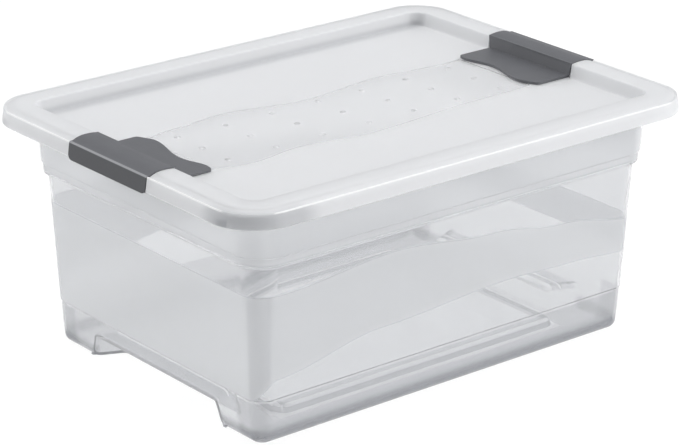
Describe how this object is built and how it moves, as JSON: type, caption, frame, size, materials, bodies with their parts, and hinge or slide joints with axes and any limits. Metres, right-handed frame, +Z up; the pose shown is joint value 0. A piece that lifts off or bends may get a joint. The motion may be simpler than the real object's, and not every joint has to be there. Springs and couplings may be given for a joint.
{
  "type": "clip lid storage tub",
  "caption": "Clear plastic storage tub with notched feet, a frosted lid with a raised rim and a clear wavy band, and grey end clips that turn up to release it.",
  "frame": {"origin": "bottom centre of the object's box, on the surface it stands on", "axes": "+X along the long side towards one clip, +Y across the box, +Z up"},
  "size_m": [0.396, 0.295, 0.1767],
  "materials": {
    "clear_plastic": "clear to lightly frosted polypropylene, glossy",
    "frosted_plastic": "milky translucent polypropylene, satin, with a clear glossy band",
    "grey_plastic": "dark grey polypropylene, fine satin grain"
  },
  "bodies": {
    "tub": {"tub": "clear_plastic"},
    "lid": {"lid": "frosted_plastic", "left_clip_flap": "grey_plastic", "left_clip_hinge": "grey_plastic", "right_clip_flap": "grey_plastic", "right_clip_hinge": "grey_plastic"},
    "left_latch": {"left_clip_latch": "grey_plastic"},
    "right_latch": {"right_clip_latch": "grey_plastic"}
  },
  "joints": [
    {"name": "lid_lift", "type": "slide", "parent": "tub", "child": "lid", "axis": [0, 0, 1], "range_m": [0, 0.15]},
    {"name": "left_latch_turn", "type": "hinge", "parent": "lid", "child": "left_latch", "pos_m": [-0.1735, 0, 0.1757], "axis": [0, 1, 0], "range_deg": [0, 110], "deforming": ["left_clip_hinge"]},
    {"name": "right_latch_turn", "type": "hinge", "parent": "lid", "child": "right_latch", "pos_m": [0.1735, 0, 0.1757], "axis": [0, -1, 0], "range_deg": [0, 110], "deforming": ["right_clip_hinge"]}
  ]
}
